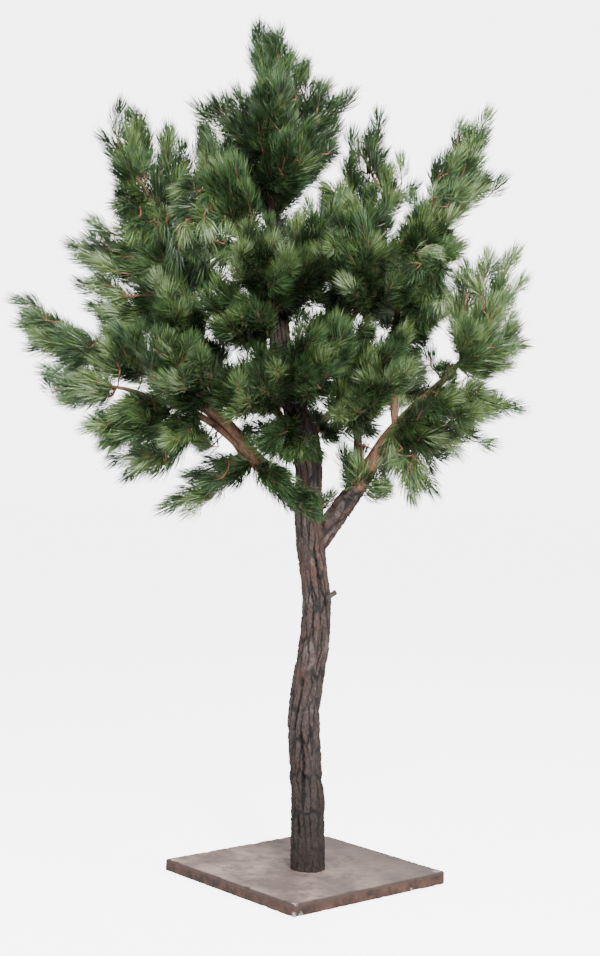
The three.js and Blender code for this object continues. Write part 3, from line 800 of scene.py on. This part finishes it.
def growInfill(place, look, rng):
    side, away, height, reach = place
    centre = treeRight * side + treeAway * away + Vector((0, 0, height))
    root = min(limbSpots, key=lambda spot: (spot - centre).length)
    tips = []
    for _ in range(look["infillTries"]):
        step = Vector(rng.normal(size=3)).normalized() * reach * rng.random() ** 0.4
        tips.append((centre + step, step))
    sprays = []
    for tip, step in spaced(tips, [], look["surfaceGap"]):
        along = (tip - root).normalized() + step / reach * 0.5 + Vector((0, 0, look["lift"]))
        heading = (along + Vector(rng.normal(size=3)) * look["scatter"]).normalized()
        length = min(rng.uniform(*look["sprayLength"]), max(look["sprayShortest"], (tip - root).length))
        sprays.append(newSpray(tip, heading, length))
    return sprays, layTwigs(root, sprays, look, rng)


def limbSprays(look, rng):
    # sprays on short side twigs straight off the boughs and the upper trunk
    sprays, points = [], []
    for limb in limbNames:
        places, girths, steps = walkLimb(limb, look["limbGap"])
        for i in range(1, len(places)):
            if limb == "trunk":
                bare = places[i][2] < look["trunkBareTo"]
            else:
                bare = steps[i] < steps[-1] * look["boughBare"]
            if bare:
                continue
            along = Vector(places[i] - places[i - 1]).normalized()
            turn = i * look["limbTurn"] + rng.random()
            side = Matrix.Rotation(turn, 3, along) @ along.orthogonal().normalized()
            heading = side + along * look["limbForward"] + Vector((0, 0, look["limbLift"]))
            heading.normalize()
            root = Vector(places[i])
            base = root + side * (float(girths[i]) + rng.uniform(*look["limbTwig"]))
            length = rng.uniform(*look["limbSprayLength"])
            points.append({"place": root, "from": None, "load": 1, "reach": 0.0})
            points.append({"place": base, "from": len(points) - 1, "load": 1, "reach": 0.0})
            # marked inner, so these sprays take the darker tones of painted shade
            sprays.append(newSpray(base + heading * length, heading, length, True))
    return sprays, points


# the darkest tone is painted shade and the palest is a painted highlight; the right's higher odds of light
# tones paint the backlight falling there
needleTones = {  # base colours, and how likely each is on the left, in the middle and on the right
    "needlePaintedShade": ((0.011, 0.027, 0.007), 0.55, 1.6, 0.35),
    "needleForest": ((0.032, 0.073, 0.019), 1.0, 1.5, 0.8),
    "needleBlue": ((0.066, 0.136, 0.066), 1.6, 0.9, 0.7),
    "needleOlive": ((0.096, 0.156, 0.034), 0.7, 0.7, 1.5),
    "needleLeaf": ((0.162, 0.244, 0.078), 0.9, 0.45, 1.5),
    "needlePaintedGlint": ((0.305, 0.400, 0.238), 0.24, 0.07, 0.40),
}


def needleCount(spray, look):
    return int(look["needlesPerSpray"] * clamp(spray["length"] / look["fullSpray"], 0.6, 1.15))


def sprayNeedles(spray, look, rng):
    # corners (n, 4, 3) of the blades of one spray: one at the foot, two at mid length, one at the tip
    count = needleCount(spray, look)
    forward = np.array(spray["heading"])
    side = np.cross(forward, (0.3, 0.1, 0.9))
    side /= np.linalg.norm(side)
    up = np.cross(side, forward)
    full = clamp(spray["length"] / 0.11, 0.65, 1)
    needle = rng.uniform(*look["needleLength"], size=count) * full
    shoot = max(0.02, spray["length"] - look["needleLength"][1] * 0.93 * full)
    along = rng.random(count) ** 0.8
    turn = np.arange(count) * look["needleTurn"] + rng.normal(size=count) * 0.25
    around = side * np.cos(turn)[:, None] + up * np.sin(turn)[:, None]
    low, high = look["opening"]
    opening = np.radians(low + (high - low) * (1 - along) + rng.normal(size=count) * 5)[:, None]
    closing = opening * look["closing"]
    foot = np.array(spray["base"]) + forward * (along * shoot)[:, None] + around * 0.0015
    lead = forward * np.cos(opening) + around * np.sin(opening)
    finish = forward * np.cos(closing) + around * np.sin(closing)
    middle = foot + lead * (needle * 0.5)[:, None]
    tip = middle + finish * (needle * 0.5)[:, None]
    tip[:, 2] -= needle * rng.uniform(0, look["needleDroop"], size=count)
    across = np.cross(lead, rng.normal(size=(count, 3)))
    across /= np.linalg.norm(across, axis=1)[:, None]
    half = across * look["needleWidth"] / 2
    return np.stack([foot, middle - half, middle + half, tip], axis=1)


def sprayTones(spray, count, look, rng):
    # tone numbers (n, 2) of a spray's needles, at the foot and at the tip; the foot is a tone darker as
    # painted shade near the shoot, inner sprays are a tone darker as painted shade, and the top of the tree
    # has more of the dark ones
    # painted light: sprays on the right lean to the light tones
    side = clamp(spray["tip"].dot(treeRight) / 0.7, -1, 1)
    shares = np.array((max(0, -side), 1 - abs(side), max(0, side)))
    odds = np.array([tone[1:] for tone in needleTones.values()]) @ shares
    odds *= (1 - look["crownDark"] * ease(*look["crownTop"], spray["tip"].z)) ** np.arange(len(odds))
    # painted shade: inner sprays are a tone darker
    tone = rng.choice(len(odds), p=odds / odds.sum()) - (1 if spray["deep"] else 0)
    tips = tone + rng.choice((-1, 0, 1, 2), count, p=(0.15, 0.50, 0.25, 0.10))
    # painted shade: each needle's foot is a tone darker than its tip
    return np.clip(np.stack([tips - 1, tips], axis=1), 0, len(odds) - 1)


def growFoliage(look):
    rng = np.random.default_rng(look["seed"])
    grown = []
    for name in massNames:
        sprays, points = growMass(name, look, rng)
        grown.append((name, sprays, points))
    for place in infill.values():
        grown.append((None, *growInfill(place, look, rng)))
    grown.append((None, *limbSprays(look, rng)))
    print("sprays:", sum(len(sprays) for _, sprays, _ in grown))
    return grown, rng


def needlePieces(grown, look, rng):
    # the blades are laid as one mesh for each run of masses that stays within pieceTriangles
    groups, size = [[]], 0
    for name, sprays, _ in grown:
        triangles = sum(needleCount(s, look) for s in sprays) * 2
        if size + triangles > look["pieceTriangles"]:
            groups.append([])
            size = 0
        groups[-1].append((name, sprays))
        size += triangles
    for number, group in enumerate(groups):
        corners, tones = [], []
        for _, sprays in group:
            for spray in sprays:
                blades = sprayNeedles(spray, look, rng)
                corners.append(blades)
                tones.append(sprayTones(spray, len(blades), look, rng))
        corners = np.concatenate(corners)
        tones = np.concatenate(tones).reshape(-1)
        first = (np.arange(len(corners)) * 4)[:, None]
        faces = np.concatenate([first + [0, 2, 1], first + [1, 2, 3]], axis=1).reshape(-1, 3)
        mesh = bpy.data.meshes.new(f"needles{number + 1}")
        mesh.from_pydata(corners.reshape(-1, 3), [], faces)
        for tone in needleTones:
            mesh.materials.append(bpy.data.materials[tone])
        mesh.polygons.foreach_set("material_index", tones.astype(np.int32))
        mesh.update()
        piece = addPiece(mesh.name, mesh, "needles", *[name for name, _ in group if name])
        print(piece.name, "triangles:", len(faces))


twigLook = {
    "thin": 0.0016,
    "grow": 0.00110,  # times the root of the number of sprays it carries
    "thickest": 0.0060,
    "sides": 5,
    "shoot": 0.5,  # share of a spray's length that its shoot runs up
    "colour": (0.185, 0.090, 0.054),
}


def twigTube(bm, start, end, startRadius, endRadius, sides):
    # there are thousands of these, far too many for an operator call each
    forward = (end - start).normalized()
    side = Vector((0.31, 0.27, 0.91))
    side = (side - forward * side.dot(forward)).normalized()
    up = forward.cross(side)
    rings = []
    for place, radius in ((start, startRadius), (end, endRadius)):
        ring = []
        for k in range(sides):
            angle = 2 * math.pi * k / sides
            ring.append(bm.verts.new(place + (side * math.cos(angle) + up * math.sin(angle)) * radius))
        rings.append(ring)
    lower, upper = rings
    for k in range(sides):
        n = (k + 1) % sides
        bm.faces.new((lower[k], lower[n], upper[n], upper[k]))
    bm.faces.new(list(reversed(lower)))
    bm.faces.new(upper)


def twigPiece(grown, look):
    bm = bmesh.new()
    thin, sides = look["thin"], look["sides"]
    for _, sprays, points in grown:
        radii = [min(look["thickest"], thin + look["grow"] * math.sqrt(p["load"])) for p in points]
        for point, radius in zip(points, radii):
            if point["from"] is None or point["load"] == 0:
                continue
            start, end = points[point["from"]]["place"], point["place"]
            if (start - end).length > 1e-4:
                twigTube(bm, start, end, min(radii[point["from"]], radius * 1.25), radius, sides)
        for spray in sprays:
            shoot = spray["base"] + spray["heading"] * spray["length"] * look["shoot"]
            twigTube(bm, spray["base"], shoot, thin * 1.5, thin * 0.8, sides)
    return addPiece("twigs", meshFrom(bm, "twigs"), "bough_bark")


# finishes


def newMaterial(name):
    material = bpy.data.materials.new(name)
    material.use_nodes = True
    return material, material.node_tree, material.node_tree.nodes["Principled BSDF"]


def addNode(tree, kind, **settings):
    node = tree.nodes.new(kind)
    for key, value in settings.items():
        setattr(node, key, value)
    return node


def plainMaterial(name, colour, roughness, specular=0.5):
    material, _, shader = newMaterial(name)
    shader.inputs["Base Color"].default_value = (*colour, 1)
    shader.inputs["Roughness"].default_value = roughness
    shader.inputs["Specular IOR Level"].default_value = specular
    return material


def mixColour(tree, factor, a, b):
    # a and b are sockets or colours
    node = addNode(tree, "ShaderNodeMix", data_type="RGBA")
    for socket, value in ((node.inputs["Factor"], factor), (node.inputs["A"], a), (node.inputs["B"], b)):
        if isinstance(value, bpy.types.NodeSocket):
            tree.links.new(value, socket)
        else:
            socket.default_value = (*value, 1)
    return node.outputs["Result"]


def mottleGroup():
    # noise as it comes, and drawn out between Low and High into a mask
    group = bpy.data.node_groups.new("mottle", "ShaderNodeTree")
    group.interface.new_socket("Vector", in_out="INPUT", socket_type="NodeSocketVector")
    for name in ("Scale", "Detail", "Roughness", "Low", "High"):
        group.interface.new_socket(name, in_out="INPUT", socket_type="NodeSocketFloat")
    for name in ("Value", "Mask"):
        group.interface.new_socket(name, in_out="OUTPUT", socket_type="NodeSocketFloat")
    given = addNode(group, "NodeGroupInput").outputs
    grain = addNode(group, "ShaderNodeTexNoise")
    mask = addNode(group, "ShaderNodeMapRange")
    result = addNode(group, "NodeGroupOutput").inputs
    for name in ("Vector", "Scale", "Detail", "Roughness"):
        group.links.new(given[name], grain.inputs[name])
    group.links.new(grain.outputs["Fac"], mask.inputs["Value"])
    group.links.new(given["Low"], mask.inputs["From Min"])
    group.links.new(given["High"], mask.inputs["From Max"])
    group.links.new(grain.outputs["Fac"], result["Value"])
    group.links.new(mask.outputs["Result"], result["Mask"])
    return group


mottle = mottleGroup()


def addMottle(tree, where, scale, low, high, detail=5, roughness=0.6):
    node = addNode(tree, "ShaderNodeGroup", node_tree=mottle)
    tree.links.new(where, node.inputs["Vector"])
    values = {"Scale": scale, "Detail": detail, "Roughness": roughness, "Low": low, "High": high}
    for name, value in values.items():
        node.inputs[name].default_value = value
    return node.outputs


def spread(tree, value, low, high):
    # a value's stretch from low to high drawn out to 0..1
    node = addNode(tree, "ShaderNodeMapRange")
    tree.links.new(value, node.inputs["Value"])
    node.inputs["From Min"].default_value = low
    node.inputs["From Max"].default_value = high
    return node.outputs["Result"]


def addBump(tree, shader, height, strength, distance):
    bump = addNode(tree, "ShaderNodeBump")
    bump.inputs["Strength"].default_value = strength
    bump.inputs["Distance"].default_value = distance
    tree.links.new(height, bump.inputs["Height"])
    tree.links.new(bump.outputs["Normal"], shader.inputs["Normal"])


def attribute(tree, name):
    return addNode(tree, "ShaderNodeAttribute", attribute_name=name).outputs["Fac"]


barkTones = {
    "plateDark": (0.012, 0.008, 0.0075),
    "plateLight": (0.090, 0.056, 0.049),
    "patch": (0.070, 0.030, 0.020),
    "grey": (0.146, 0.112, 0.104),
    "fleck": (0.300, 0.220, 0.180),
    "footReach": (0.62, 0.18),  # heights between which the trunk turns as dark as its foot
    "footDark": (0.008, 0.005, 0.004),
    "footLight": (0.038, 0.023, 0.019),
    # painted shade laid in the furrows, flake gaps and cut marks
    "furrowShade": (0.002, 0.0015, 0.0015),
    "skinDark": (0.100, 0.046, 0.026),
    "skinLight": (0.330, 0.185, 0.115),
}


def barkMaterial(look):
    # old plated bark, the boughs' smooth young bark and the trunk's dark foot, with painted shade near
    # black in the furrows
    material, tree, shader = newMaterial("bark")
    where = addNode(tree, "ShaderNodeTexCoord").outputs["Object"]
    stretch = addNode(tree, "ShaderNodeMapping")
    stretch.inputs["Scale"].default_value = (1, 1, 0.4)  # every mark is drawn out upwards
    tree.links.new(where, stretch.inputs["Vector"])
    drawn = stretch.outputs["Vector"]
    grain = addMottle(tree, drawn, 150, 0.34, 0.66, 7, 0.7)
    patch = addMottle(tree, drawn, 11, 0.50, 0.64, 4)
    weather = addMottle(tree, drawn, 30, 0.56, 0.74)
    fleck = addMottle(tree, where, 420, 0.66, 0.80, 3)
    old = mixColour(tree, grain["Mask"], look["plateDark"], look["plateLight"])
    old = mixColour(tree, patch["Mask"], old, look["patch"])
    old = mixColour(tree, weather["Mask"], old, look["grey"])
    new = mixColour(tree, spread(tree, grain["Value"], 0.30, 0.70), look["skinDark"], look["skinLight"])
    body = mixColour(tree, attribute(tree, "young"), old, new)
    body = mixColour(tree, fleck["Mask"], body, look["fleck"])
    place = addNode(tree, "ShaderNodeSeparateXYZ")
    tree.links.new(where, place.inputs["Vector"])
    low = spread(tree, place.outputs["Z"], *look["footReach"])
    body = mixColour(tree, low, body, mixColour(tree, grain["Mask"], look["footDark"], look["footLight"]))
    # painted shade: furrows, flake gaps and cut marks turn near black
    body = mixColour(tree, attribute(tree, "furrowShade"), body, look["furrowShade"])
    tree.links.new(body, shader.inputs["Base Color"])
    shader.inputs["Roughness"].default_value = 0.78
    addBump(tree, shader, grain["Value"], 0.8, 0.0025)
    return material


bark = barkMaterial(barkTones)
for piece in (trunkBark, boughBark, branchEnds):
    piece.data.materials.append(bark)


fittingTones = {
    "woodDark": (0.34, 0.24, 0.16),
    "woodLight": (0.60, 0.47, 0.35),
    "wire": (0.035, 0.022, 0.012),
}


def sawnWood(look):
    material, tree, shader = newMaterial("sawnWood")
    where = addNode(tree, "ShaderNodeTexCoord").outputs["Object"]
    fleck = addMottle(tree, where, 220, 0.35, 0.65)["Mask"]
    tree.links.new(mixColour(tree, fleck, look["woodDark"], look["woodLight"]), shader.inputs["Base Color"])
    shader.inputs["Roughness"].default_value = 0.8
    return material


branchEnds.data.materials.append(sawnWood(fittingTones))
wireTies.data.materials.append(plainMaterial("tieWire", fittingTones["wire"], 0.5))
for toneName, (colour, *_) in needleTones.items():
    plainMaterial(toneName, colour, 0.42, 0.55)

grown, foliageRng = growFoliage(foliageLook)
needlePieces(grown, foliageLook, foliageRng)
twigs = twigPiece(grown, twigLook)
twigs.data.materials.append(plainMaterial("twigSkin", twigLook["colour"], 0.8))
print("twigs:", len(twigs.data.polygons))


slabTones = {
    "topDark": (0.150, 0.108, 0.098),
    "topLight": (0.345, 0.250, 0.213),
    "smear": (0.110, 0.084, 0.078),
    "grit": (0.38, 0.30, 0.265),
    # the top turns darker towards +X
    "darkerAlongX": (0.092, 0.072, 0.069),
    "darkerAlongXReach": (-0.16, 0.42),  # from none to full, along X
    "sideDark": (0.024, 0.012, 0.009),
    "sideLight": (0.104, 0.048, 0.033),
    "rim": (0.050, 0.030, 0.025),
    "chalk": (0.50, 0.47, 0.45),
}


def slabMaterial(look):
    material, tree, shader = newMaterial("slabFinish")
    where = addNode(tree, "ShaderNodeTexCoord").outputs["Object"]
    broad = addMottle(tree, where, 5.5, 0.40, 0.60, 4)
    fine = addMottle(tree, where, 60, 0.60, 0.80, 7, 0.7)
    smear = addMottle(tree, where, 16, 0.50, 0.70, 6, 0.65)
    top = mixColour(tree, broad["Mask"], look["topDark"], look["topLight"])
    top = mixColour(tree, smear["Mask"], top, look["smear"])
    top = mixColour(tree, fine["Mask"], top, look["grit"])
    place = addNode(tree, "ShaderNodeSeparateXYZ")
    tree.links.new(where, place.inputs["Vector"])
    # the top is darker towards +X
    top = mixColour(tree, spread(tree, place.outputs["X"], *look["darkerAlongXReach"]), top, look["darkerAlongX"])
    side = mixColour(tree, spread(tree, smear["Value"], 0.38, 0.62), look["sideDark"], look["sideLight"])
    body = mixColour(tree, attribute(tree, "flank"), top, side)
    body = mixColour(tree, spread(tree, attribute(tree, "wear"), 0.25, 1.0), body, look["rim"])
    body = mixColour(tree, attribute(tree, "chalk"), body, look["chalk"])
    tree.links.new(body, shader.inputs["Base Color"])
    shader.inputs["Roughness"].default_value = 0.72
    addBump(tree, shader, fine["Value"], 0.7, 0.0015)
    return material


slabCast.data.materials.append(slabMaterial(slabTones))
print("finishes laid on")

# floor and light

studio = {
    "floorSize": 60,
    "floorColour": (0.85, 0.85, 0.85),
    "glow": 5.0,  # added to what the camera sees of the floor and backdrop, not to the light
    "ambient": 0.42,
    "aim": (0, 0, 1.6),
    "lights": {  # right, away, height, size, power and colour
        "keyLight": (1.2, -3.9, 4.2, 1.4, 500, (1.0, 0.98, 0.95)),
        "fillLight": (-3.6, -2.6, 2.6, 2.0, 165, (0.97, 0.99, 1.0)),
        "sideLight": (4.0, -1.2, 3.2, 2.0, 135, (1.0, 0.98, 0.94)),
        "backLight": (0.6, 3.6, 4.6, 2.5, 130, (1, 1, 1)),
    },
}


def cameraGlow(tree, glow, ambient):
    # ambient for all rays, and glow as well for those that the camera sends out
    ray = addNode(tree, "ShaderNodeLightPath").outputs["Is Camera Ray"]
    strength = addNode(tree, "ShaderNodeMath", operation="MULTIPLY_ADD")
    tree.links.new(ray, strength.inputs[0])
    strength.inputs[1].default_value = glow
    strength.inputs[2].default_value = ambient
    return strength.outputs["Value"]


def makeFloor(look):
    bm = bmesh.new()
    bmesh.ops.create_grid(bm, x_segments=1, y_segments=1, size=look["floorSize"] / 2)
    floor = bpy.data.objects.new("floor", meshFrom(bm, "floor"))
    bpy.context.scene.collection.objects.link(floor)
    material, tree, shader = newMaterial("floorFinish")
    shader.inputs["Base Color"].default_value = (*look["floorColour"], 1)
    shader.inputs["Roughness"].default_value = 0.9
    shader.inputs["Emission Color"].default_value = (1, 1, 1, 1)
    tree.links.new(cameraGlow(tree, look["glow"], 0), shader.inputs["Emission Strength"])
    floor.data.materials.append(material)


def makeBackdrop(look):
    world = bpy.data.worlds.new("studio")
    world.use_nodes = True
    tree = world.node_tree
    background = tree.nodes["Background"]
    background.inputs["Color"].default_value = (1, 1, 1, 1)
    tree.links.new(cameraGlow(tree, look["glow"], look["ambient"]), background.inputs["Strength"])
    bpy.context.scene.world = world


def addLight(name, aim, right, away, height, size, power, colour):
    data = bpy.data.lights.new(name, "AREA")
    data.shape = "DISK"
    data.size = size
    data.energy = power
    data.color = colour
    light = bpy.data.objects.new(name, data)
    light.location = treeRight * right + treeAway * away + Vector((0, 0, height))
    light.rotation_euler = (Vector(aim) - light.location).to_track_quat("-Z", "Y").to_euler()
    bpy.context.scene.collection.objects.link(light)


makeFloor(studio)
makeBackdrop(studio)
for name, values in studio["lights"].items():
    addLight(name, studio["aim"], *values)
print("studio set")
